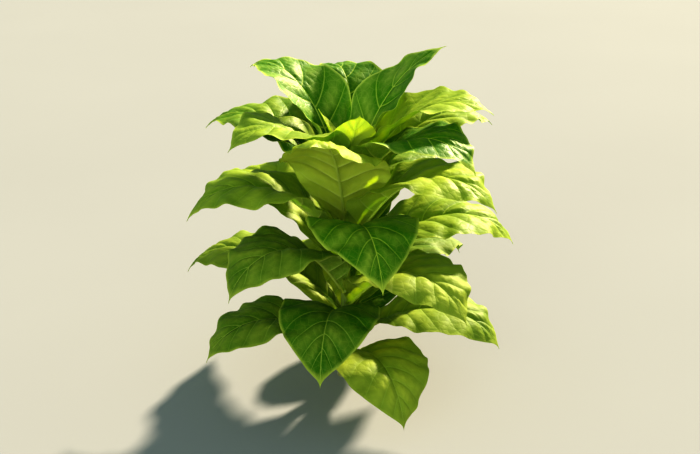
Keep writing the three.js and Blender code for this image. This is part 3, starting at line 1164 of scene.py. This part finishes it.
@dataclass(frozen=True)
class Foliage:
    """The thirty leaves, each a piece that stands for its own solid."""

    growth: Growth
    form: BladeForm
    young_ranks: int = 5
    old_from_rank: int = 19
    young_vein_pairs: int = 9
    vein_pairs: int = 11

    def finish(self, rank: int) -> LeafFinish:
        """The look of a leaf, by its age."""
        if rank < self.young_ranks:
            return YOUNG_FINISH
        return OLD_FINISH if rank >= self.old_from_rank else GROWN_FINISH

    def build(self) -> None:
        """Builds every leaf, from the oldest to the youngest."""
        finishes = (YOUNG_FINISH, GROWN_FINISH, OLD_FINISH)
        materials = {finish.name: finish.material() for finish in finishes}
        for rank in range(self.growth.leaf_count - 1, -1, -1):
            number = self.growth.leaf_count - rank
            pairs = self.young_vein_pairs if rank < self.young_ranks else self.vein_pairs
            blade = Blade(self.growth.traits(rank), self.growth.stem, self.form, pairs)
            piece = blade.skin().piece(f"blade_{number:02d}", materials[self.finish(rank).name])
            place_piece(piece, f"leaf_{number:02d}")


@dataclass(frozen=True)
class Bud:
    """The bud: the smallest leaves, furled round the growing tip."""

    growth: Growth
    leaf_count: int = 7
    longest: float = 0.112
    shrink: float = 0.80
    lowest: float = 0.650
    step: float = 0.0035
    half_width_share: float = 0.15
    wing: float = 0.3
    rise: float = 86.0
    tip: float = 78.0
    fold: float = 0.9
    sway_spread: float = 20.0
    wave_share: float = 0.03
    foot_sink: float = 0.0035
    tone: float = 0.5
    vein_pairs: int = 7

    def build(self) -> bpy.types.Object:
        """The furled leaves as one joined piece, each a small blade by the plant's own rule.

        Returns:
            The piece.
        """
        form = BladeForm(
            steps_between_veins=7, blade_columns=9, rib_steps=80, pucker_share=0.008, thickness=0.0007
        )
        skins = []
        for number in range(self.leaf_count):
            length = self.longest * self.shrink ** number
            leaf = LeafTraits(
                rank=-1 - number,
                azimuth=self.growth.youngest_azimuth - self.growth.spiral_turn * (1 + number),
                height=self.lowest + self.step * number,
                length=length,
                half_width=length * self.half_width_share,
                wing=self.wing,
                rise=self.rise,
                tip=self.tip,
                bend=self.growth.bend_power,
                sway=self.sway_spread * variation(number, Trait.BUD_SWAY),
                roll=0.0,
                fold=self.fold,
                curl=0.0,
                wave=length * self.wave_share,
                wave_phase=variation(number, Trait.WAVE_PHASE),
                start=-self.foot_sink,
                tone=self.tone,
            )
            skins.append(Blade(leaf, self.growth.stem, form, self.vein_pairs).skin())
        return Skin.joined(skins).piece("bud_leaves", BUD_FINISH.material())


@dataclass(frozen=True)
class Lamp:
    """A far-off lamp, with even light everywhere: the wider its angle, the softer its shadows.

    Its direction is its turn from +X towards +Y and its elevation, in degrees, as its angle is.
    """

    name: str
    turn: float
    elevation: float
    angle: float
    power: float
    colour: Colour
    distance: float = 3.0

    def build(self) -> None:
        """The lamp, above the origin and turned to its direction."""
        turn, up = math.radians(self.turn), math.radians(self.elevation)
        towards = Vector((math.cos(turn) * math.cos(up), math.sin(turn) * math.cos(up), math.sin(up)))
        light = bpy.data.lights.new(self.name, "SUN")
        light.angle = math.radians(self.angle)
        light.energy = self.power
        light.color = self.colour
        lamp = bpy.data.objects.new(self.name, light)
        lamp.location = self.distance * towards
        lamp.rotation_euler = towards.to_track_quat("Z", "Y").to_euler()
        bpy.context.scene.collection.objects.link(lamp)


@dataclass(frozen=True)
class Studio:
    """The pale floor, the soft lamps and the camera."""

    aim: tuple[float, float, float] = (0.015, 0.0, 0.49)
    elevation: float = 23.0
    distance: float = 3.5
    pixels_per_metre: float = 342.0
    sensor: float = 36.0
    floor_radius: float = 30.0
    world_colour: Colour = (0.75, 1.0, 0.84)
    world_strength: float = 0.41
    look: str = "High Contrast"
    lamps: tuple[Lamp, ...] = (
        Lamp("key", turn=60.0, elevation=27.0, angle=4.0, power=10.4, colour=(1.0, 0.87, 0.58)),
        Lamp("fill", turn=250.0, elevation=16.0, angle=45.0, power=1.4, colour=(0.90, 1.0, 0.76)),
    )

    def build_floor(self) -> None:
        """The floor: a level square sheet under the plant's foot."""
        r = self.floor_radius
        corners = np.array([[-r, -r, 0.0], [r, -r, 0.0], [r, r, 0.0], [-r, r, 0.0]])
        skin = Skin(points=corners, faces=np.array([[0, 1, 2, 3]]), uv=corners[:, :2] / r)
        floor = skin.piece("floor", FloorFinish().material())

    def build_camera(self) -> None:
        """The camera: it looks along +Y and down by the elevation, and its lens sets the picture's scale."""
        down = math.radians(self.elevation)
        back = Vector((0.0, -math.cos(down), math.sin(down)))
        data = bpy.data.cameras.new("camera")
        data.sensor_width = self.sensor
        data.lens = self.sensor * self.distance * self.pixels_per_metre / FRAME_WIDTH
        camera = bpy.data.objects.new("camera", data)
        camera.location = Vector(self.aim) + back * self.distance
        camera.rotation_euler = (-back).to_track_quat("-Z", "Y").to_euler()
        bpy.context.scene.collection.objects.link(camera)
        bpy.context.scene.camera = camera

    def build_world(self) -> None:
        """An even, faintly green light from all round."""
        world = bpy.data.worlds.new("studio")
        world.use_nodes = True
        background = world.node_tree.nodes["Background"]
        background.inputs["Color"].default_value = (*self.world_colour, 1.0)
        background.inputs["Strength"].default_value = self.world_strength
        bpy.context.scene.world = world

    def build(self) -> None:
        """Sets up the floor, the world, the lamps and the camera."""
        self.build_floor()
        self.build_world()
        for lamp in self.lamps:
            lamp.build()
        self.build_camera()
        bpy.context.scene.view_settings.view_transform = "Standard"
        bpy.context.scene.view_settings.look = self.look


def place_piece(piece: bpy.types.Object, node: str) -> None:
    """Lets a piece ride the plant's body and stand for a solid, and reports it.

    Args:
        piece: the finished piece.
        node: the solid that the piece stands for.
    """
    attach(piece, BODY)
    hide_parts(node)
    triangles = sum(len(face.vertices) - 2 for face in piece.data.polygons)
    log.info("%s stands for %s: %d triangles", piece.name, node, triangles)


def main() -> None:
    """Builds the studio, the stem, the leaves and the bud."""
    logging.basicConfig(level=logging.INFO, format="%(name)s: %(message)s")
    Studio().build()
    stem = Stem()
    growth = Growth(stem)
    stalk = stem.build([growth.traits(rank) for rank in range(growth.leaf_count)], StemFinish())
    place_piece(stalk, "stem")
    Foliage(growth, BladeForm()).build()
    place_piece(Bud(growth).build(), "bud")


if __name__ == "__main__":
    main()
